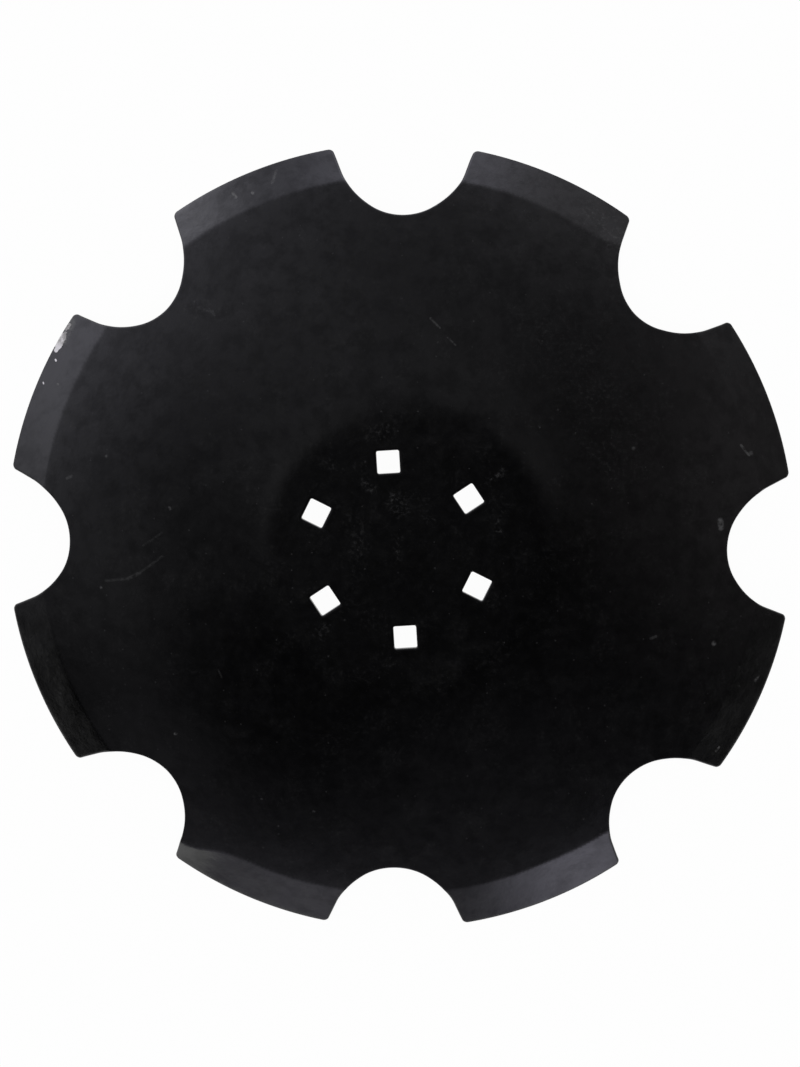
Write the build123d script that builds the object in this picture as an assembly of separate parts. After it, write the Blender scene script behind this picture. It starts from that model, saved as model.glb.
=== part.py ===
from build123d import *
import os
from math import asin, cos, degrees, radians, sin, sqrt

# Notched harrow disc blade: one steel plate, pressed to a spherical dish with a flat centre.
# The axis of the dish is the z axis, and one notch lies on the +X side.
# The blade lies convex side up, so z is zero at the cutting edge that it rests on.
# Sizes are in millimetres and angles in degrees.

# Plate and dish
DISC_DIAMETER = 560.0
PLATE_THICKNESS = 6.0
DISH_RADIUS = 550.0  # convex side
FLAT_DIAMETER = 196.0  # where the flat centre and the dish would meet, unrounded
SHOULDER_RADIUS = 100.0  # rounding of that meeting, convex side

# Ground bevel of the cutting edge, on the convex side
BEVEL_WIDTH = 26.0  # seen along the axis
EDGE_LAND = 1.5  # thickness left at the rim

# Notches, drawn square to the plate at each notch
NOTCH_COUNT = 8
NOTCH_DEPTH = 50.9  # rim to root, seen along the axis
NOTCH_ROOT_RADIUS = 36.3
NOTCH_ROOT_TURN = 37.0  # of the root arc, to either side of the root
NOTCH_FLANK_RADIUS = 60.5  # of the arcs between the root and the straight ends of the flanks
NOTCH_FLARE = 19.3  # straight end of each flank, from the centre line of its notch
TOOTH_TIP_RADIUS = 4.0

# Square holes for the carriage bolts of the hub
BOLT_COUNT = 6
BOLT_CIRCLE_DIAMETER = 120.0
BOLT_CIRCLE_TURN = 36.1  # first hole from the middle of the first notch
BOLT_SQUARE = 15.5
BOLT_SQUARE_CORNER = 1.2
BOLT_SQUARE_TWIST = -2.0  # each square from its own radius

# Broken edges
NOTCH_CHAMFER = 0.8  # convex side only, the other side is the cutting edge
BOLT_CHAMFER = 0.4

# Worked out from the sizes above, in a frame with the dish centre at z = 0
inner_radius = DISH_RADIUS - PLATE_THICKNESS
rim_radius = DISC_DIAMETER / 2
rim_angle = degrees(asin(rim_radius / (inner_radius + EDGE_LAND)))
flat_height = sqrt(DISH_RADIUS**2 - (FLAT_DIAMETER / 2) ** 2)
rest_height = inner_radius * cos(radians(rim_angle))
margin = 2 * PLATE_THICKNESS

TOLERANCE = 0.01  # of a place or length, to tell which edge is which


def on_sphere(radius, angle):
    """Point of a sphere about the dish centre, at an angle from the axis, in the XZ plane."""
    return (radius * sin(radians(angle)), radius * cos(radians(angle)))


def plate_side(depth):
    """Axis to rim line of the plate, at a depth under its convex side."""
    flat = flat_height - depth
    centre_height = flat_height - SHOULDER_RADIUS
    centre_reach = sqrt((DISH_RADIUS - SHOULDER_RADIUS) ** 2 - centre_height**2)
    shoulder_angle = degrees(asin(centre_reach / (DISH_RADIUS - SHOULDER_RADIUS)))
    sphere = DISH_RADIUS - depth
    seat = Line((0, flat), (centre_reach, flat))
    shoulder_end = on_sphere(sphere, shoulder_angle)
    shoulder = RadiusArc((centre_reach, flat), shoulder_end, SHOULDER_RADIUS - depth)
    dish = RadiusArc(shoulder_end, on_sphere(sphere, rim_angle), sphere)
    return [seat, shoulder, dish]


def dished_plate():
    """Full round plate, with a rim that is square to the plate."""
    with BuildPart() as plate:
        with BuildSketch(Plane.XZ):
            with BuildLine():
                add(plate_side(0))
                add(plate_side(PLATE_THICKNESS))
                Line((0, flat_height), (0, flat_height - PLATE_THICKNESS))
                Line(on_sphere(DISH_RADIUS, rim_angle), on_sphere(inner_radius, rim_angle))
            make_face()
        revolve(axis=Axis.Z)
    return plate.part


def notch_plane(turn):
    """Work plane that touches the dish halfway down a notch, with y pointing outwards."""
    middle_angle = degrees(asin((rim_radius - NOTCH_DEPTH / 2) / DISH_RADIUS))
    reach, height = on_sphere(DISH_RADIUS, middle_angle)
    outwards = Vector(cos(radians(turn)), sin(radians(turn)), 0)
    across = Vector(-sin(radians(turn)), cos(radians(turn)), 0)
    normal = outwards * sin(radians(middle_angle)) + Vector(0, 0, cos(radians(middle_angle)))
    return Plane(origin=outwards * reach + Vector(0, 0, height), x_dir=-across, z_dir=normal)


def notch_tool(turn):
    """Cutter of one notch: a round root that eases into two flanks, which end straight and flare."""
    plane = notch_plane(turn)
    root = plane.to_local_coords(root_point(turn))
    flank_turn = 90 - NOTCH_FLARE - NOTCH_ROOT_TURN
    with BuildPart() as tool:
        with BuildSketch(plane):
            with BuildLine():
                centre = (0, root.Y + NOTCH_ROOT_RADIUS)
                bottom = CenterArc(centre, NOTCH_ROOT_RADIUS, -90 - NOTCH_ROOT_TURN, 2 * NOTCH_ROOT_TURN)
                right = JernArc(bottom @ 1, bottom % 1, NOTCH_FLANK_RADIUS, flank_turn)
                left = JernArc(bottom @ 0, -(bottom % 0), NOTCH_FLANK_RADIUS, -flank_turn)
                right_end = right @ 1 + (right % 1) * NOTCH_DEPTH
                left_end = left @ 1 + (left % 1) * NOTCH_DEPTH
                Polyline(right @ 1, right_end, left_end, left @ 1)
            make_face()
        extrude(amount=NOTCH_DEPTH, both=True)
    return tool.part


def root_point(turn):
    """Deepest point of a notch, on the convex side."""
    reach = rim_radius - NOTCH_DEPTH
    height = sqrt(DISH_RADIUS**2 - reach**2)
    return Vector(reach * cos(radians(turn)), reach * sin(radians(turn)), height)


def bolt_hole_tool(turn):
    """Cutter of one square hole through the flat centre."""
    centre = Plane((0, 0, flat_height)).rotated((0, 0, turn))
    square = centre.offset(margin) * Pos(BOLT_CIRCLE_DIAMETER / 2, 0) * Rot(0, 0, BOLT_SQUARE_TWIST)
    outline = RectangleRounded(BOLT_SQUARE, BOLT_SQUARE, BOLT_SQUARE_CORNER)
    return extrude(square * outline, amount=-(PLATE_THICKNESS + 2 * margin))


def bevel_tool():
    """Ring that grinds the bevel from the convex side down to the edge land."""
    start_angle = degrees(asin((rim_radius - BEVEL_WIDTH) / DISH_RADIUS))
    start = Vector(*on_sphere(DISH_RADIUS, start_angle))
    end = Vector(*on_sphere(inner_radius + EDGE_LAND, rim_angle))
    along = (end - start).normalized() * margin
    above = Vector(-along.Y, along.X)
    inner = start - along
    outer = end + along
    with BuildPart() as ring:
        with BuildSketch(Plane.XZ):
            with BuildLine():
                Polyline(inner, outer, outer + above, inner + above, close=True)
            make_face()
        revolve(axis=Axis.Z)
    return ring.part


def turns(count, first):
    """Even turns about the axis."""
    return [first + 360 * index / count for index in range(count)]


def plan_reach(point):
    """Distance of a point from the axis."""
    return sqrt(point.X**2 + point.Y**2)


def is_on_hole_outline(edge):
    """True for the edges of the square holes on either side of the plate."""
    middle = edge @ 0.5
    faces = (flat_height, flat_height - PLATE_THICKNESS)
    on_face = any(abs(middle.Z - face) < TOLERANCE for face in faces)
    return on_face and plan_reach(middle) < BOLT_CIRCLE_DIAMETER / 2 + BOLT_SQUARE


def is_tooth_corner(edge):
    """True for the edges through the plate where a notch flank meets the rim."""
    start, end = edge @ 0, edge @ 1
    through = abs(abs(start.length - end.length) - PLATE_THICKNESS) < TOLERANCE
    return through and plan_reach(edge @ 0.5) > rim_radius - PLATE_THICKNESS


def is_on_convex_outline(edge):
    """True for the edges of the notches and the rim on the convex side."""
    points = [edge @ share for share in (0, 0.5, 1)]
    on_dish = all(abs(point.length - DISH_RADIUS) < TOLERANCE for point in points)
    return on_dish and all(plan_reach(point) > rim_radius - NOTCH_DEPTH - margin for point in points)


def with_bolt_holes(plate):
    """Plate with its ring of square holes, chamfered at both sides."""
    for turn in turns(BOLT_COUNT, BOLT_CIRCLE_TURN):
        plate -= bolt_hole_tool(turn)
    outlines = [edge for edge in plate.edges() if is_on_hole_outline(edge)]
    return chamfer(outlines, BOLT_CHAMFER)


def with_notches(plate):
    """Plate with its notches, rounded tooth tips and chamfered convex outline."""
    for turn in turns(NOTCH_COUNT, 0):
        plate -= notch_tool(turn)
    corners = [edge for edge in plate.edges() if is_tooth_corner(edge)]
    plate = fillet(corners, TOOTH_TIP_RADIUS)
    outline = [edge for edge in plate.edges() if is_on_convex_outline(edge)]
    return chamfer(outline, NOTCH_CHAMFER)


def disc_blade():
    """The finished blade, on the surface that it rests on."""
    plate = with_notches(with_bolt_holes(dished_plate()))
    return Pos(0, 0, -rest_height) * (plate - bevel_tool())


os.makedirs("parts", exist_ok=True)
export_step(disc_blade(), "parts/disc_blade.step")
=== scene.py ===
import math

import bpy
import numpy as np
from mathutils import Matrix, Vector, noise
from mathutils.geometry import delaunay_2d_cdt
from mathutils.kdtree import KDTree


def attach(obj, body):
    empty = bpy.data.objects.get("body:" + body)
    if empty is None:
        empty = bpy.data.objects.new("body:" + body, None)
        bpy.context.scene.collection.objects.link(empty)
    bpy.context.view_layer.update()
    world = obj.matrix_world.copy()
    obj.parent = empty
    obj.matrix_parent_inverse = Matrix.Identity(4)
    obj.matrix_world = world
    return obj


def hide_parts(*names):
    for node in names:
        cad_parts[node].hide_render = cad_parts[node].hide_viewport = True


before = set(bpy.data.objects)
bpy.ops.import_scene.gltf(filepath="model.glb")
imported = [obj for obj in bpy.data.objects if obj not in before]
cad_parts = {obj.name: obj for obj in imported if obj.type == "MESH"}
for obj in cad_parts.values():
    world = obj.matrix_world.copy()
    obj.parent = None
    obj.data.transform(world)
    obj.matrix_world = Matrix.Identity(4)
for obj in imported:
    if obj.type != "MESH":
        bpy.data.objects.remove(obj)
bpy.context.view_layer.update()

# A notched harrow disc blade of pressed steel in worn black paint, convex side up.
# The mesh replaces the solid's own with a denser one of the same form, whose notches, ground edge
# and surface are slightly uneven, as on the real blade. Lengths are in metres.

# Sizes of the blade, as in the solid
PLATE = 0.006
DISH_RADIUS = 0.550
FLAT_REACH = 0.098
SHOULDER_RADIUS = 0.100
RIM_REACH = 0.280
EDGE_LAND = 0.0015
NOTCH_COUNT = 8
NOTCH_DEPTH = 0.0509
NOTCH_ROOT = 0.0363
NOTCH_ROOT_TURN = math.radians(37.0)
NOTCH_FLANK = 0.0605
NOTCH_FLARE = math.radians(19.3)
TIP_RADIUS = 0.0040
HOLE_COUNT = 6
HOLE_RING = 0.060
HOLE_TURN = math.radians(36.1)
HOLE_TWIST = math.radians(-2.0)
HOLE_SIDE = 0.0155
HOLE_CORNER = 0.0012

# Heights above the surface that the blade lies on
INNER_RADIUS = DISH_RADIUS - PLATE
RIM_ANGLE = math.asin(RIM_REACH / (INNER_RADIUS + EDGE_LAND))
CENTRE_Z = -INNER_RADIUS * math.cos(RIM_ANGLE)
FLAT_Z = CENTRE_Z + math.sqrt(DISH_RADIUS**2 - FLAT_REACH**2)

# Where the shoulder between flat and dish begins and ends
SHOULDER_CENTRE_Z = FLAT_Z - SHOULDER_RADIUS - CENTRE_Z
SHOULDER_START = math.sqrt((DISH_RADIUS - SHOULDER_RADIUS) ** 2 - SHOULDER_CENTRE_Z**2)
SHOULDER_END = SHOULDER_START * DISH_RADIUS / (DISH_RADIUS - SHOULDER_RADIUS)

# Sheet coordinates are the place seen along the axis of a point of the unground convex side
SHEET_RIM = DISH_RADIUS * math.sin(RIM_ANGLE)
NOTCH_MIDDLE = math.asin((RIM_REACH - NOTCH_DEPTH / 2) / DISH_RADIUS)

# Spacing of the mesh
EDGE_STEP = 0.0022
RIM_STEP = 0.0013
TIP_STEP = 0.0009
FIELD_STEP = 0.0034
BACK_STEP = 0.0060
RING_INSETS = (0, 0.00012, 0.00035, 0.0008, 0.0018)
BACK_INSETS = (0, 0.0003, 0.0018)
HOLE_CORNER_STEP = 0.0005
OUTLINE_GAP = 0.0014
BEVEL_ROWS_FROM = 0.2
LINE_HALF = 0.0005
LINE_CLEAR = 0.0018
EDGE_BAND = 0.0018

# Broken edges
EDGE_ROUND = 0.0008
RIM_BLUNT = 0.00010
BACK_CHAMFER = 0.0003
BEVEL_SOFT = 0.00006
SHARP_ANGLE = math.radians(40)

# Departures of this blade from its drawing. The rim is drawn out along one diagonal.
OUT_OF_ROUND = 0.0005
RIM_LESS = 0.00012

# The shoulder round the flat lies a little off centre, towards +X
FLAT_ASIDE = 0.0045

# Depths of the slight waves of the surface, how close together they are, and their seeds
WAVES = ((0.00006, 22, 3.1), (0.00003, 75, 7.7))

# Reach in millimetres of the line where grinding began, every 22.5 degrees from +X, and
# where it narrows the bevel: azimuth and half width in degrees, and how far it moves
BEVEL_LINE_STEP = 22.5
BEVEL_LINE = [255.0, 255.0, 255.2, 255.6, 255.2, 254.7, 254.2, 252.9, 252.0]
BEVEL_LINE += [252.6, 252.5, 251.0, 249.4, 249.2, 253.5, 254.0, 255.0]
BEVEL_NARROW = ((234.7, 5.0, 14.0), (52.0, 3.6, 6.0), (61.0, 5.0, -0.8))

# How much metal each notch has over its drawn outline, in millimetres, at even angles round it.
# The notches go anticlockwise round the blade, from +X. Each row goes clockwise through its root.
UNEVEN_CENTRE = 0.266
UNEVEN_WITHIN = 0.075
UNEVEN_FADE = 0.023
RIM_KEPT = 0.015
UNEVEN_ANGLES = (-96, -72, -36, 0, 36, 72, 96)
UNEVEN = [
    (0.3, 0.4, 0.3, 0.1, 0.0, -0.6, -0.6),
    (0.9, 0.9, 1.2, 0.2, 0.1, -1.5, -2.7),
    (0.1, -0.2, -0.1, -0.6, -1.0, -2.2, -1.0),
    (-1.2, -0.6, -0.1, 0.0, 1.1, 1.3, 1.5),
    (0.3, 0.7, 0.7, 0.9, 0.8, 0.7, 0.3),
    (-0.6, 0.1, 0.1, -0.5, 0.2, 0.5, 0.0),
    (0.2, -0.2, -0.2, -0.2, -0.2, 0.1, 0.2),
    (0.2, -0.4, -0.4, 0.2, 1.0, 1.2, 0.8),
]


def plate_side(reach):
    """Height of the convex side, and the radial and axial parts of its normal."""
    shoulder_sine = np.clip((reach - SHOULDER_START) / SHOULDER_RADIUS, 0, 1)
    dish_sine = np.clip(reach / DISH_RADIUS, 0, 1)
    on_dish = reach >= SHOULDER_END
    sine = np.where(on_dish, dish_sine, shoulder_sine)
    cosine = np.sqrt(1 - sine**2)
    dish_z = CENTRE_Z + DISH_RADIUS * cosine
    shoulder_z = FLAT_Z - SHOULDER_RADIUS * (1 - cosine)
    return np.where(on_dish, dish_z, shoulder_z), sine, cosine


def bevel_line(azimuth):
    """Reach of the line where grinding began. It wanders, and narrows beside two notches."""
    degrees = np.degrees(azimuth) % 360
    low = np.clip((degrees // BEVEL_LINE_STEP).astype(int), 0, len(BEVEL_LINE) - 2)
    share = (1 - np.cos(math.pi * (degrees - low * BEVEL_LINE_STEP) / BEVEL_LINE_STEP)) / 2
    reach = np.array(BEVEL_LINE)
    wander = reach[low] * (1 - share) + reach[low + 1] * share
    narrow = sum(far * np.exp(-(((degrees - middle) / half) ** 2)) for middle, half, far in BEVEL_NARROW)
    return (wander + narrow) * 0.001


def ground_depth(u, v):
    """How far under the unground convex side the bevel lies."""
    reach = np.hypot(u, v)
    angle = np.arcsin(np.clip(reach / DISH_RADIUS, 0, 1))
    start = np.arcsin(bevel_line(np.arctan2(v, u)) / DISH_RADIUS)
    edge_radius = INNER_RADIUS + EDGE_LAND
    start_xz = DISH_RADIUS * np.stack([np.sin(start), np.cos(start)])
    edge_xz = edge_radius * np.array([math.sin(RIM_ANGLE), math.cos(RIM_ANGLE)])
    run = edge_xz[:, None] - start_xz
    normal = np.stack([-run[1], run[0]]) / np.hypot(run[0], run[1])
    offset = (normal * start_xz).sum(0)
    facing = normal[0] * np.sin(angle) + normal[1] * np.cos(angle)
    cut = np.where(reach > BEVEL_ROWS_FROM, DISH_RADIUS - offset / facing, -1)
    return (cut + np.sqrt(cut**2 + BEVEL_SOFT**2)) / 2


def arc_points(centre, radius, start, end, step):
    """Points of an arc, with angles in radians."""
    count = max(2, math.ceil(abs(end - start) * radius / step))
    angles = np.linspace(start, end, count + 1)
    return np.stack([centre[0] + radius * np.cos(angles), centre[1] + radius * np.sin(angles)], 1)


def line_points(start, end, step):
    """Points of a straight run."""
    start, end = np.array(start), np.array(end)
    count = max(1, math.ceil(np.hypot(*(end - start)) / step))
    return start + (end - start) * np.linspace(0, 1, count + 1)[:, None]


def half_notch():
    """Half of the notch on the +X side, from its root to the rim, in sheet coordinates.
    It is drawn on a plane that touches the dish halfway down the notch. The straight end of its
    flank runs as far as leaves room for the rounded tip."""
    sine, cosine = math.sin(NOTCH_MIDDLE), math.cos(NOTCH_MIDDLE)
    root_reach = RIM_REACH - NOTCH_DEPTH
    root_y = root_reach * cosine - math.sqrt(DISH_RADIUS**2 - root_reach**2) * sine
    centre = np.array([0, root_y + NOTCH_ROOT])
    away = np.array([-math.sin(NOTCH_ROOT_TURN), math.cos(NOTCH_ROOT_TURN)])
    flank_centre = centre + (NOTCH_FLANK - NOTCH_ROOT) * away
    along = np.array([math.sin(NOTCH_FLARE), math.cos(NOTCH_FLARE)])
    aside = np.array([math.cos(NOTCH_FLARE), -math.sin(NOTCH_FLARE)])
    flank_end = flank_centre + NOTCH_FLANK * aside
    turn = np.linspace(0, 0.4, 4001)
    rim_x = SHEET_RIM * np.sin(turn)
    rim_y = SHEET_RIM * np.cos(turn) * cosine - DISH_RADIUS * math.cos(RIM_ANGLE) * sine
    low, high = 0.0, NOTCH_DEPTH
    for _ in range(40):
        run = (low + high) / 2
        tip = flank_end + run * along + TIP_RADIUS * aside
        apart = np.hypot(rim_x - tip[0], rim_y - tip[1])
        low, high = (run, high) if apart.min() > TIP_RADIUS else (low, run)
    nearest = np.array([rim_x[apart.argmin()], rim_y[apart.argmin()]]) - tip
    tip_turn = math.atan2(nearest[1], nearest[0])
    root = arc_points(centre, NOTCH_ROOT, -math.pi / 2, NOTCH_ROOT_TURN - math.pi / 2, EDGE_STEP)
    side = arc_points(flank_centre, NOTCH_FLANK, NOTCH_ROOT_TURN - math.pi / 2, -NOTCH_FLARE, EDGE_STEP)[1:]
    straight = line_points(flank_end, flank_end + run * along, EDGE_STEP)[1:]
    corner = arc_points(tip, TIP_RADIUS, math.pi - NOTCH_FLARE, tip_turn, TIP_STEP)[1:]
    drawn = np.concatenate([root, side, straight, corner])
    out = np.sqrt(DISH_RADIUS**2 - (drawn**2).sum(1)) * sine + drawn[:, 1] * cosine
    return np.stack([out, drawn[:, 0]], 1)


def turned(points, angle):
    """Points turned about the axis."""
    sine, cosine = math.sin(angle), math.cos(angle)
    return points @ np.array([[cosine, sine], [-sine, cosine]])


def as_punched(points):
    """Points of the outline moved by what each notch has more or less than drawn.
    Near the rim each keeps its own reach."""
    moved = points.copy()
    for k, amounts in enumerate(UNEVEN):
        turn = 2 * math.pi * k / NOTCH_COUNT
        away = turned(moved, -turn) - [UNEVEN_CENTRE, 0]
        apart = np.hypot(away[:, 0], away[:, 1])
        angle = np.degrees(np.arctan2(-away[:, 1], -away[:, 0]))
        amount = np.interp(angle, UNEVEN_ANGLES, amounts) * 0.001
        near = np.clip((UNEVEN_WITHIN - apart) / UNEVEN_FADE, 0, 1)
        moved -= turned(away / apart[:, None], turn) * (amount * near)[:, None]
    drawn = np.hypot(points[:, 0], points[:, 1])
    reach = np.hypot(moved[:, 0], moved[:, 1])
    kept = np.clip(1 - (SHEET_RIM - drawn) / RIM_KEPT, 0, 1)
    return moved * (kept * drawn / reach + 1 - kept)[:, None]


def blade_outline():
    """The rim and its notches, anticlockwise, and how far each point belongs to the rim."""
    half = half_notch()
    corner_turn = math.atan2(half[-1, 1], half[-1, 0])
    pitch = 2 * math.pi / NOTCH_COUNT
    rim = arc_points((0, 0), SHEET_RIM, corner_turn, pitch - corner_turn, RIM_STEP)[1:-1]
    notch = np.concatenate([half[:0:-1] * [1, -1], half])
    points = np.concatenate([turned(np.concatenate([notch, rim]), k * pitch) for k in range(NOTCH_COUNT)])
    reach = np.hypot(points[:, 0], points[:, 1])
    return as_punched(points), np.clip(1 - (SHEET_RIM - reach) / 0.0015, 0, 1)


def hole_outline(turn):
    """One square hole, clockwise, so that the plate is on its left."""
    inner = HOLE_SIDE / 2 - HOLE_CORNER
    points = []
    for k in range(4):
        corner = arc_points((inner, inner), HOLE_CORNER, math.pi / 2, 0, HOLE_CORNER_STEP)
        side = line_points((inner + HOLE_CORNER, inner), (inner + HOLE_CORNER, -inner), EDGE_STEP)[1:-1]
        points.append(turned(np.concatenate([corner, side]), -k * math.pi / 2))
    square = turned(np.concatenate(points), HOLE_TWIST) + [HOLE_RING, 0]
    return turned(square, turn)


def left_normals(loop):
    """Unit normals to the left of a closed loop."""
    ahead = np.roll(loop, -1, 0) - np.roll(loop, 1, 0)
    ahead /= np.linalg.norm(ahead, axis=1)[:, None]
    return np.stack([-ahead[:, 1], ahead[:, 0]], 1)


def inside(points, loop):
    """Whether each point is inside a closed loop."""
    found = np.zeros(len(points), bool)
    ends = np.roll(loop, -1, 0)
    for (x0, y0), (x1, y1) in zip(loop, ends):
        crosses = (points[:, 1] < y0) != (points[:, 1] < y1)
        if crosses.any():
            at = x0 + (points[crosses, 1] - y0) * (x1 - x0) / (y1 - y0)
            found[crosses] ^= points[crosses, 0] < at
    return found


def ring_of_points(step, line_at, stagger):
    """Points round the axis at a reach that may vary with the azimuth."""
    mean = float(np.mean(line_at(np.linspace(-math.pi, math.pi, 73)[:-1])))
    count = max(6, round(2 * math.pi * mean / step))
    azimuth = (np.arange(count) + 0.5 * stagger) * 2 * math.pi / count
    reach = line_at(azimuth)
    return np.stack([reach * np.cos(azimuth), reach * np.sin(azimuth)], 1)


def field_points(step, follow_bevel):
    """Points of the sheet between its outlines, in rings that follow its shoulder and bevel line."""
    rings = [(lambda a, r=r: np.full(np.shape(a), r)) for r in np.arange(step, BEVEL_ROWS_FROM, step)]
    start = BEVEL_ROWS_FROM + 0.001
    rows = max(2, round((0.2535 - start) / step))
    before = LINE_CLEAR if follow_bevel else 0.0
    for share in np.linspace(0, 1, rows + 1):
        rings.append(lambda a, s=share: start + (bevel_line(a) - before - start) * s)
    if follow_bevel:
        for offset in (-LINE_HALF, 0, LINE_HALF, LINE_CLEAR):
            rings.append(lambda a, d=offset: bevel_line(a) + d)
    fine = min(step, 0.0026)
    rows = round((SHEET_RIM - 0.2568) / fine)
    for share in np.linspace(0, 1, rows + 1)[1:-1]:
        rings.append(lambda a, s=share: (bevel_line(a) + LINE_CLEAR) * (1 - s) + SHEET_RIM * s)
    points = [np.zeros((1, 2))]
    for k, line_at in enumerate(rings):
        points.append(ring_of_points(step, line_at, k % 2))
    return np.concatenate(points)


def clear_of(points, kept, gap):
    """Points that lie further than a gap from the kept ones."""
    tree = KDTree(len(kept))
    for k, (x, y) in enumerate(kept):
        tree.insert((x, y, 0), k)
    tree.balance()
    far = [tree.find((x, y, 0))[2] > gap for x, y in points]
    return points[np.array(far)]


def sheet(loops, insets, step, follow_bevel):
    """Triangles of a sheet within the outlines. Each outline is followed by rings inset from it.
    Returns the places of the points, their inset, their outline's own number and the triangles."""
    places, inset_of, outline_of, edges = [], [], [], []
    count = 0
    for number, loop in enumerate(loops):
        normals = left_normals(loop)
        for inset in insets:
            places.append(loop + normals * inset)
            inset_of.append(np.full(len(loop), inset))
            outline_of.append(np.arange(len(loop)) + sum(map(len, loops[:number])))
            edges += [(count + k, count + (k + 1) % len(loop)) for k in range(len(loop))]
            count += len(loop)
    border = np.concatenate(places)
    field = field_points(step, follow_bevel)
    innermost = loops[0] + left_normals(loops[0]) * insets[-1]
    field = field[inside(field, innermost)]
    for loop in loops[1:]:
        field = field[~inside(field, loop + left_normals(loop) * insets[-1])]
    field = clear_of(field, border, OUTLINE_GAP)
    points = np.concatenate([border, field])
    inset_of = np.concatenate(inset_of + [np.full(len(field), 1.0)])
    outline_of = np.concatenate(outline_of + [np.full(len(field), -1)])
    result = delaunay_2d_cdt([Vector(p) for p in points], edges, [], 0, 1e-9)
    source = np.array([min(ids) for ids in result[3]])
    triangles = source[np.array(result[2])]
    on_outline = inset_of[triangles] == 0
    return points, inset_of, outline_of, triangles[~on_outline.all(1)]


def lift(points, depth):
    """Places in space of points of the sheet, at a depth under its convex side."""
    reach = np.hypot(points[:, 0], points[:, 1])
    near = np.clip(reach / 0.07, 0, 1) * np.clip((0.19 - reach) / 0.08, 0, 1)
    near = near * near * (3 - 2 * near)
    aside = np.hypot(points[:, 0] - FLAT_ASIDE * near, points[:, 1])
    height, sine, cosine = plate_side(aside)
    inwards = 1 - depth * np.where(reach > 0, sine / np.maximum(reach, 1e-9), 0)
    return np.stack([points[:, 0] * inwards, points[:, 1] * inwards, height - depth * cosine], 1)


def waves(points, scale, seed):
    """Smooth unevenness between 0 and 1."""
    place = [Vector((x * scale, y * scale, seed)) for x, y in points]
    return np.array([0.5 + 0.5 * noise.noise(p) for p in place])


def build_blade():
    """The whole blade as one closed mesh."""
    outer, rim_share = blade_outline()
    holes = [hole_outline(HOLE_TURN + k * 2 * math.pi / HOLE_COUNT) for k in range(HOLE_COUNT)]
    loops = [outer] + holes
    border = np.concatenate(loops)
    rim_share = np.concatenate([rim_share, np.zeros(len(border) - len(outer))])

    top, top_inset, top_outline, top_faces = sheet(loops, RING_INSETS, FIELD_STEP, True)
    back, back_inset, back_outline, back_faces = sheet(loops, BACK_INSETS, BACK_STEP, False)

    ground = ground_depth(top[:, 0], top[:, 1])
    rim = np.where(top_outline >= 0, rim_share[top_outline], 0)
    left = PLATE - ground
    rounding = np.minimum(EDGE_ROUND, 0.4 * left)
    past = np.clip(rounding - top_inset, 0, None)
    notch_drop = rounding - np.sqrt(rounding**2 - past**2)
    rim_drop = RIM_BLUNT * np.clip(1 - top_inset / RING_INSETS[-1], 0, 1) ** 2
    drop = notch_drop * (1 - rim) + rim_drop * rim
    uneven = sum(amount * waves(top, scale, seed) for amount, scale, seed in WAVES)
    top_depth = ground + drop + np.where(top_inset < 1, 0, uneven)
    top_places = lift(top, top_depth)

    chamfer = np.where(back_inset == 0, BACK_CHAMFER, 0)
    back_places = lift(back, PLATE - chamfer)

    top_edge = [0] * len(border)
    for k in np.nonzero(top_inset == 0)[0]:
        top_edge[top_outline[k]] = int(k)
    back_edge = [0] * len(border)
    for k in np.nonzero(back_inset == 0)[0]:
        back_edge[back_outline[k]] = int(k) + len(top)
    walls = []
    first = 0
    for loop in loops:
        for k in range(len(loop)):
            a, b = first + k, first + (k + 1) % len(loop)
            walls.append((top_edge[a], back_edge[a], back_edge[b], top_edge[b]))
        first += len(loop)

    places = np.concatenate([top_places, back_places])
    diagonal = 2 * places[:, 0] * places[:, 1] / RIM_REACH**2
    places[:, :2] *= 1 - (OUT_OF_ROUND * diagonal * np.abs(diagonal) + RIM_LESS)[:, None] / RIM_REACH
    faces = [tuple(t) for t in top_faces.tolist()]
    faces += [tuple(t) for t in (back_faces[:, ::-1] + len(top)).tolist()]
    faces += walls
    mesh = bpy.data.meshes.new("disc_blade_mesh")
    mesh.from_pydata(places.tolist(), [], faces)
    mesh.update()
    mesh.shade_smooth()
    mesh.set_sharp_from_angle(angle=SHARP_ANGLE)
    blade = bpy.data.objects.new("disc_blade_body", mesh)
    bpy.context.scene.collection.objects.link(blade)

    reach = np.hypot(top[:, 0], top[:, 1])
    past_line = (reach - bevel_line(np.arctan2(top[:, 1], top[:, 0]))) / LINE_HALF
    ground_share = np.concatenate([np.clip(0.5 + 0.5 * past_line, 0, 1), np.zeros(len(back))])
    convex = np.concatenate([np.ones(len(top)), np.zeros(len(back))])
    edge = np.clip(1 - np.concatenate([top_inset, back_inset]) / EDGE_BAND, 0, 1)
    for name, values in (("ground", ground_share), ("convex", convex), ("edge", edge)):
        mesh.attributes.new(name, "FLOAT", "POINT").data.foreach_set("value", values.astype(np.float32))
    return blade


blade = build_blade()
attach(blade, "root")
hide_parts("disc_blade")


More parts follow.
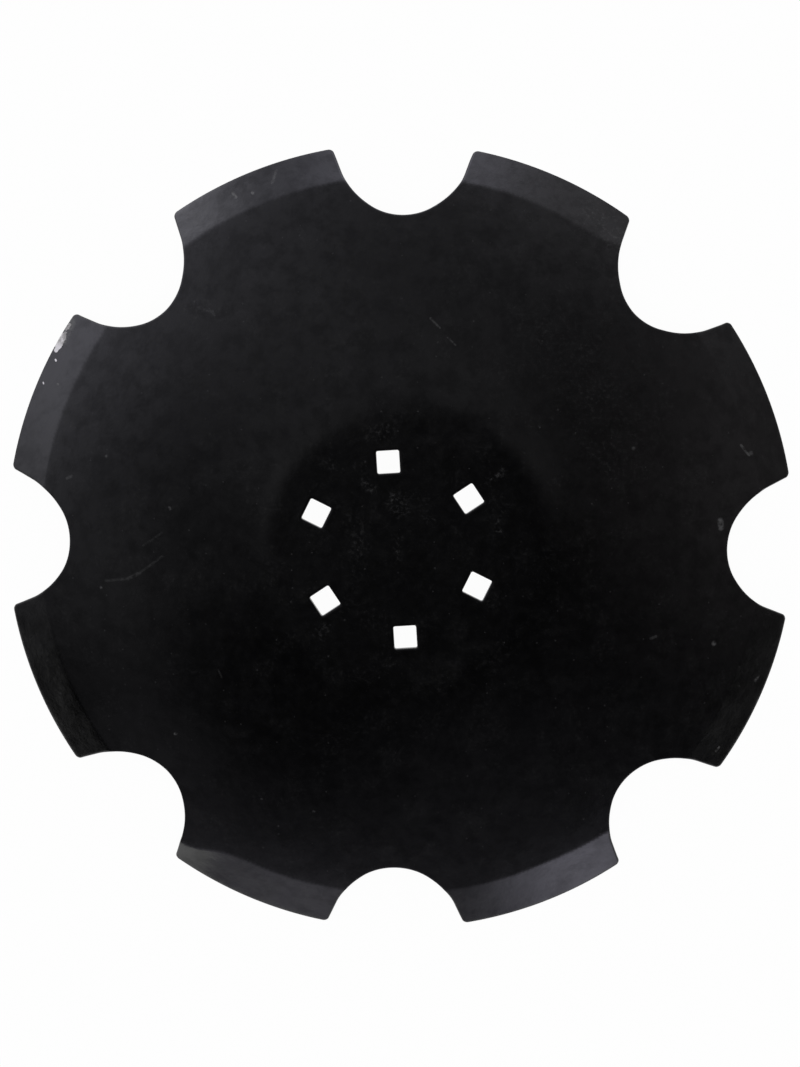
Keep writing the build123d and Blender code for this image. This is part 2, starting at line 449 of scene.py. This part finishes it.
class Tree:
    """Short calls that add nodes to a node tree and join them."""

    def __init__(self, tree):
        self.tree = tree

    def add(self, kind, **settings):
        node = self.tree.nodes.new(kind)
        for name, value in settings.items():
            setattr(node, name, value)
        return node

    def join(self, source, target):
        if isinstance(source, (int, float)):
            target.default_value = source
        elif isinstance(source, (tuple, Vector)):
            target.default_value = tuple(source)
        else:
            self.tree.links.new(source, target)

    def math(self, operation, first, second=0.5, third=0.5, clamp=False):
        node = self.add("ShaderNodeMath", operation=operation, use_clamp=clamp)
        for value, target in zip((first, second, third), node.inputs):
            self.join(value, target)
        return node.outputs[0]

    def vector(self, operation, first, second=(0, 0, 0), scale=1.0):
        node = self.add("ShaderNodeVectorMath", operation=operation)
        self.join(first, node.inputs[0])
        if operation == "SCALE":
            self.join(scale, node.inputs["Scale"])
        else:
            self.join(second, node.inputs[1])
        return node.outputs["Value" if operation in ("DOT_PRODUCT", "LENGTH", "DISTANCE") else "Vector"]

    def noise(self, place, scale, detail=3.0, roughness=0.5):
        node = self.add("ShaderNodeTexNoise")
        self.join(place, node.inputs["Vector"])
        node.inputs["Scale"].default_value = scale
        node.inputs["Detail"].default_value = detail
        node.inputs["Roughness"].default_value = roughness
        return node.outputs["Fac"]

    def spread(self, value, low, high, to_low=0.0, to_high=1.0):
        node = self.add("ShaderNodeMapRange", interpolation_type="SMOOTHSTEP")
        for source, target in zip((value, low, high, to_low, to_high), node.inputs):
            self.join(source, target)
        return node.outputs[0]

    def attribute(self, name):
        return self.add("ShaderNodeAttribute", attribute_name=name).outputs["Fac"]

    def mix(self, share, first, second):
        node = self.add("ShaderNodeMix", data_type="RGBA")
        self.join(share, node.inputs[0])
        self.join(first, node.inputs[6])
        self.join(second, node.inputs[7])
        return node.outputs[2]

    def mix_shaders(self, share, first, second):
        node = self.add("ShaderNodeMixShader")
        for source, target in zip((share, first, second), node.inputs):
            self.join(source, target)
        return node.outputs[0]


PAINT_DARK = (0.0001, 0.0001, 0.0001, 1)
DUST_LIGHT = (0.12, 0.12, 0.12, 1)
BARE_STEEL = (0.52, 0.51, 0.49, 1)
BUMP_DISTANCE = 0.00001

# Light marks from handling: the ends of each in millimetres, its half width and how light it is
SCUFFS = [
    ((-206.3, -31.4), (-206.3, -31.4), 0.9, 0.9),
    ((-202.5, -26.3), (-186.2, -24.1), 0.9, 0.24),
    ((-186.2, -24.1), (-177.5, -19.5), 1.1, 0.30),
    ((-177.5, -19.5), (-161.5, -7.7), 0.8, 0.20),
    ((-175.2, -0.7), (-161.6, 8.8), 0.7, 0.15),
    ((-88.3, 259.8), (-90.7, 250.5), 0.9, 0.5),
    ((-231.7, 43.8), (-228.6, 45.3), 1.0, 0.4),
    ((-122.2, -85.6), (-120.0, -90.5), 0.6, 0.22),
    ((-156.6, 26.2), (-156.0, 25.0), 0.8, 0.6),
    ((-202.8, 59.9), (-202.4, 60.3), 0.8, 0.7),
    ((223.4, 19.4), (224.0, 14.6), 1.8, 1.0),
    ((221.0, -66.7), (221.0, -66.7), 1.5, 0.9),
    ((161.0, 69.8), (161.0, 69.8), 1.2, 0.4),
    ((175.3, -61.4), (178.8, -60.1), 0.9, 0.3),
    ((245.3, 65.8), (245.3, 65.8), 1.5, 0.6),
    ((-239.5, 140.0), (-233.5, 152.5), 3.4, 1.5),
    ((-241.2, 109.3), (-240.9, 109.0), 0.7, 1.5),
    ((238.1, 71.4), (244.0, 64.4), 0.8, 0.8),
    ((-154.2, -133.3), (-153.6, -133.0), 0.9, 0.9),
    ((-93.7, -178.3), (-93.0, -178.3), 0.6, 0.4),
    ((-82.1, -198.5), (-82.1, -198.5), 0.6, 0.4),
    ((-57.0, -185.8), (-56.2, -186.2), 0.6, 0.4),
    ((21.2, 157.0), (27.5, 150.5), 0.7, 0.40),
    ((33.0, 144.0), (38.4, 138.9), 0.5, 0.35),
    ((255.8, -93.3), (253.5, -96.0), 0.8, 0.6),
    ((226.9, -146.6), (229.0, -144.0), 0.8, 0.6),
    ((-118.6, 243.6), (-116.0, 240.6), 0.8, 1.6),
    ((-104.6, 243.7), (-104.2, 243.4), 0.9, 1.2),
    ((-139.8, 163.5), (-128.6, 160.2), 0.9, 0.20),
    ((-131.0, 162.0), (-127.4, 158.2), 0.8, 0.22),
]

# Patches of fine dust, in the same terms
PATCHES = [
    ((-2.0, 34.5), (2.5, 27.5), 5.0, 1.0),
    ((-22.0, 45.0), (-17.0, 41.0), 3.0, 0.9),
    ((-50.0, 59.0), (-43.0, 57.0), 3.0, 0.7),
    ((19.0, 21.5), (24.0, 20.5), 2.0, 0.7),
    ((0.5, 8.0), (0.5, -6.0), 2.5, 0.7),
    ((68.9, 19.5), (68.9, 13.5), 2.0, 1.1),
    ((65.0, 49.5), (71.0, 54.5), 2.5, 0.9),
    ((-53.0, -58.0), (-49.0, -55.0), 4.0, 0.8),
    ((-30.0, 20.0), (-24.0, 2.0), 6.0, 0.5),
    ((-20.0, 78.0), (-4.0, 82.0), 4.0, 0.45),
    ((134.0, 231.0), (150.0, 214.0), 9.0, 0.9),
    ((104.0, 152.0), (152.0, 78.0), 26.0, 0.20),
    ((-145.0, 160.0), (-134.0, 163.0), 7.0, 0.4),
]

# Where a tooth is scraped to bright steel, in the same terms
SCRAPES = [
    ((-242.4, 136.0), (-239.2, 142.5), 3.3, 0.93),
    ((-243.8, 133.0), (-242.0, 137.0), 2.0, 0.95),
    ((-238.6, 144.0), (-234.5, 151.0), 2.0, 0.70),
    ((-243.9, 126.2), (-243.5, 125.5), 0.8, 1.0),
    ((-252.8, 110.0), (-252.5, 109.2), 0.6, 1.0),
]


def mark(t, flat, row, soft):
    """How light a mark is at a point: full within its half width, and fading to nought outside."""
    start, end, width, light = row
    start = Vector(start).to_3d() * 0.001
    along = Vector(end).to_3d() * 0.001 - start
    apart = t.vector("SUBTRACT", flat, start)
    if along.length > 0:
        share = t.math("DIVIDE", t.vector("DOT_PRODUCT", apart, along), along.length_squared, clamp=True)
        apart = t.vector("SUBTRACT", apart, t.vector("SCALE", along, scale=share))
    width *= 0.001
    return t.spread(t.vector("LENGTH", apart), width * (1 - soft), width * (1 + soft), light, 0.0)


def all_marks(t, flat, rows, soft):
    """The lightest of the marks at each point."""
    total = mark(t, flat, rows[0], soft)
    for row in rows[1:]:
        total = t.math("MAXIMUM", total, mark(t, flat, row, soft))
    return total


def specks(t, flat, cell, radius, share):
    """Round dots of uneven size, at most one to a cell, in a share of the cells."""
    node = t.add("ShaderNodeTexVoronoi", voronoi_dimensions="2D")
    t.join(flat, node.inputs["Vector"])
    node.inputs["Scale"].default_value = 1 / cell
    drawn = t.add("ShaderNodeSeparateColor")
    t.join(node.outputs["Color"], drawn.inputs[0])
    size = t.math("MULTIPLY_ADD", drawn.outputs[1], 0.7, 0.3)
    away = t.math("DIVIDE", node.outputs["Distance"], size)
    dot = t.spread(away, 0.4 * radius / cell, radius / cell, 1.0, 0.0)
    return t.math("MULTIPLY", dot, t.math("LESS_THAN", drawn.outputs[0], share))


def make_paint():
    """Satin black paint over steel, with clouding, dust, scuffs and a tooth scraped bare."""
    made = bpy.data.materials.new("black_paint")
    made.use_nodes = True
    t = Tree(made.node_tree)
    shader = made.node_tree.nodes["Principled BSDF"]
    place = t.add("ShaderNodeTexCoord").outputs["Object"]
    flat = t.vector("MULTIPLY", place, (1, 1, 0))
    ground = t.attribute("ground")
    edge = t.attribute("edge")
    convex = t.attribute("convex")

    clouds = t.noise(place, 15, 2, 0.55)
    blotches = t.noise(place, 52, 3, 0.6)
    mottle = t.noise(place, 160, 3, 0.65)
    fine = t.noise(flat, 360, 3, 0.65)
    grain = t.noise(place, 900, 1, 0.6)

    # Lines of the grinding wheel run round the bevel, under the paint
    sides = t.add("ShaderNodeSeparateXYZ")
    t.join(flat, sides.inputs[0])
    polar = t.add("ShaderNodeCombineXYZ")
    t.join(t.vector("LENGTH", flat), polar.inputs[0])
    t.join(t.math("MULTIPLY", t.math("ARCTAN2", sides.outputs[1], sides.outputs[0]), 0.012), polar.inputs[1])
    lines = t.math("MULTIPLY", t.noise(polar.outputs[0], 1500, 1, 0.7), ground)

    # Dust lies in clouds, crumbs and specks, and light scuffs cross it
    haze = t.math("MULTIPLY", t.spread(clouds, 0.38, 0.72), t.spread(blotches, 0.32, 0.68))
    dust = t.math("MULTIPLY", specks(t, flat, 0.012, 0.0009, 0.22), 0.10)
    dust = t.math("ADD", dust, t.math("MULTIPLY", specks(t, flat, 0.005, 0.0005, 0.14), 0.06))
    crumbs = t.spread(fine, 0.47, 0.74)
    stray = t.math("MULTIPLY", t.spread(blotches, 0.50, 0.62), 0.035)
    patches = t.math("MULTIPLY", all_marks(t, flat, PATCHES, 0.9), convex)
    settled = t.math("MULTIPLY_ADD", patches, 0.17, stray)
    dust = t.math("MULTIPLY_ADD", crumbs, settled, dust)
    broken = t.spread(fine, 0.30, 0.60)
    scuffs = t.math("MULTIPLY", all_marks(t, flat, SCUFFS, 0.6), t.math("MULTIPLY", convex, 0.5))
    scuffs = t.math("MULTIPLY", scuffs, broken)
    worn = t.math("MULTIPLY", t.spread(edge, 0.5, 1.0), t.spread(mottle, 0.54, 0.68))
    light = t.math("ADD", t.math("ADD", dust, scuffs), t.math("MULTIPLY", worn, 0.1))
    film = t.math("MULTIPLY", t.spread(mottle, 0.40, 0.68), 0.008)
    film = t.math("MULTIPLY_ADD", haze, 0.014, film)
    colour = t.mix(t.math("ADD", film, light, clamp=True), PAINT_DARK, DUST_LIGHT)

    # Bare steel shows through where the tooth is scraped
    scrape = t.math("ADD", all_marks(t, flat, SCRAPES, 0.5), t.math("MULTIPLY", fine, 0.9))
    bare = t.math("MULTIPLY", t.spread(scrape, 1.10, 1.22), convex)
    t.join(t.mix(bare, colour, BARE_STEEL), shader.inputs["Base Color"])

    # The coat is thin in clouds, which give less sheen
    thin = t.spread(t.noise(place, 75, 3, 0.68), 0.40, 0.66)
    thin = t.math("MULTIPLY", thin, t.spread(clouds, 0.30, 0.60, 0.12, 0.24))
    t.join(t.math("MAXIMUM", bare, thin), shader.inputs["Metallic"])

    # Clouds, dust and bare steel are rougher, and the ground bevel is smoother
    rough = t.math("MULTIPLY_ADD", clouds, 0.12, 0.165)
    rough = t.math("MULTIPLY_ADD", blotches, 0.06, rough)
    rough = t.math("MULTIPLY_ADD", mottle, 0.05, t.math("SUBTRACT", rough, 0.055))
    rough = t.math("MULTIPLY_ADD", light, 0.6, rough, clamp=True)
    rough = t.math("MULTIPLY_ADD", bare, 0.14, t.math("MULTIPLY_ADD", ground, -0.06, rough))
    t.join(rough, shader.inputs["Roughness"])

    bump = t.add("ShaderNodeBump")
    bump.inputs["Strength"].default_value = 1.0
    bump.inputs["Distance"].default_value = BUMP_DISTANCE
    height = t.math("MULTIPLY_ADD", mottle, 4.5, t.math("MULTIPLY", blotches, 14.0))
    height = t.math("MULTIPLY_ADD", grain, 0.5, height)
    height = t.math("MULTIPLY_ADD", lines, 0.5, height)
    t.join(height, bump.inputs["Height"])
    t.join(bump.outputs[0], shader.inputs["Normal"])
    return made


blade.data.materials.append(make_paint())


FLOOR_COLOUR = (0.85, 0.85, 0.85, 1)
FLOOR_WHITE_SHARE = 0.97
FLOOR_REACH = 12.0


def make_floor():
    """Plain white floor. It keeps the shadow of the blade, and is clear from beneath."""
    made = bpy.data.materials.new("floor_white")
    made.use_nodes = True
    t = Tree(made.node_tree)
    nodes = made.node_tree.nodes
    nodes.remove(nodes["Principled BSDF"])
    diffuse = t.add("ShaderNodeBsdfDiffuse")
    diffuse.inputs["Color"].default_value = FLOOR_COLOUR
    glow = t.add("ShaderNodeEmission")
    glow.inputs["Strength"].default_value = 1.0
    path = t.add("ShaderNodeLightPath")
    seen = t.math("ADD", path.outputs["Is Camera Ray"], path.outputs["Is Glossy Ray"])
    seen = t.math("ADD", seen, path.outputs["Is Transmission Ray"], clamp=True)
    white = t.math("MULTIPLY", seen, FLOOR_WHITE_SHARE)
    top = t.mix_shaders(white, diffuse.outputs[0], glow.outputs[0])
    clear = t.add("ShaderNodeBsdfTransparent")
    beneath = t.add("ShaderNodeNewGeometry").outputs["Backfacing"]
    both = t.mix_shaders(beneath, top, clear.outputs[0])
    t.join(both, nodes["Material Output"].inputs["Surface"])
    low, high = -FLOOR_REACH, FLOOR_REACH
    mesh = bpy.data.meshes.new("floor_mesh")
    mesh.from_pydata([(low, low, 0), (high, low, 0), (high, high, 0), (low, high, 0)], [], [(0, 1, 2, 3)])
    mesh.materials.append(made)
    floor = bpy.data.objects.new("floor", mesh)
    bpy.context.scene.collection.objects.link(floor)


make_floor()

# Soft studio light: azimuth and height of each soft source in degrees, how narrow it is, and its colour
BASE_LIGHT = (0.0030, 0.0030, 0.0032)
SOFT_SOURCES = [
    (120, 50, 5.1, (0.296, 0.294, 0.318)),
    (142.4, 1.9, 7.2, (1.31, 1.30, 1.50)),
    (60, 8.9, 7.9, (0.55, 0.54, 0.58)),
    (296, 2, 52, (1.72, 1.68, 2.00)),
    (255, 2, 18.8, (0.62, 0.60, 0.70)),
    (90.6, 2, 24.4, (2.03, 2.01, 2.38)),
    (7.6, 25, 9, (0.255, 0.240, 0.252)),
    (194.9, 38, 33, (0.195, 0.193, 0.206)),
    (22, 68, 120, (0.175, 0.172, 0.178)),
    (64, 64, 70, (0.125, 0.123, 0.128)),
    (55, 83, 50, (-0.040, -0.040, -0.042)),
    (225.2, 27.1, 41, (0.178, 0.176, 0.193)),
    (285, 27, 6, (0.118, 0.116, 0.130)),
    (127.5, 2, 95.6, (1.95, 1.95, 2.12)),
    (171, 9, 15, (0.44, 0.438, 0.47)),
    (166, 76, 150, (0.29, 0.29, 0.30)),
]


def make_world():
    """Soft light from all round the blade, on a plain white that only the camera sees."""
    world = bpy.data.worlds.new("studio")
    bpy.context.scene.world = world
    world.use_nodes = True
    t = Tree(world.node_tree)
    toward = t.add("ShaderNodeTexCoord").outputs["Generated"]
    total = Vector(BASE_LIGHT)
    for azimuth, height, narrow, colour in SOFT_SOURCES:
        a, h = math.radians(azimuth), math.radians(height)
        centre = Vector((math.cos(h) * math.cos(a), math.cos(h) * math.sin(a), math.sin(h)))
        facing = t.math("MAXIMUM", t.vector("DOT_PRODUCT", toward, centre), 0.0)
        lobe = t.math("POWER", facing, float(narrow))
        total = t.vector("ADD", t.vector("SCALE", Vector(colour), scale=lobe), total)
    seen = t.add("ShaderNodeLightPath").outputs["Is Camera Ray"]
    lit = t.mix(seen, t.vector("MAXIMUM", total, (0, 0, 0)), (1, 1, 1, 1))
    t.join(lit, world.node_tree.nodes["Background"].inputs["Color"])


make_world()


def make_fill():
    """Wide soft lamp overhead, for plain light on the floor and on matt surfaces. It makes no highlight."""
    light = bpy.data.lights.new("overhead_fill", "AREA")
    light.shape = "DISK"
    light.size = 3.0
    light.energy = 60.0
    lamp = bpy.data.objects.new("overhead_fill", light)
    lamp.location = (0, 0, 3.0)
    lamp.visible_glossy = False
    lamp.visible_camera = False
    bpy.context.scene.collection.objects.link(lamp)


make_fill()

# Camera, nearly straight above the blade
CAMERA_TILT = math.radians(4.7395)
CAMERA_TURN = math.radians(75.883)
CAMERA_ROLL = math.radians(0.5391)
CAMERA_AIM = Vector((0.000659, 0.005344, 0.00128))
CAMERA_AWAY = 1.6
CAMERA_LENS = 75.96
CAMERA_SENSOR = 36

lens = bpy.data.cameras.new("camera")
lens.lens = CAMERA_LENS
lens.sensor_width = CAMERA_SENSOR
lens.sensor_fit = "AUTO"
camera = bpy.data.objects.new("camera", lens)
bpy.context.scene.collection.objects.link(camera)
back = Vector(
    (
        math.sin(CAMERA_TILT) * math.cos(CAMERA_TURN),
        math.sin(CAMERA_TILT) * math.sin(CAMERA_TURN),
        math.cos(CAMERA_TILT),
    )
)
up = Vector((-math.sin(CAMERA_ROLL), math.cos(CAMERA_ROLL), 0))
side = up.cross(back).normalized()
up = back.cross(side)
facing = Matrix((side, up, back)).transposed().to_4x4()
camera.matrix_world = Matrix.Translation(CAMERA_AIM + CAMERA_AWAY * back) @ facing
bpy.context.scene.camera = camera

bpy.context.scene.view_settings.view_transform = "Standard"
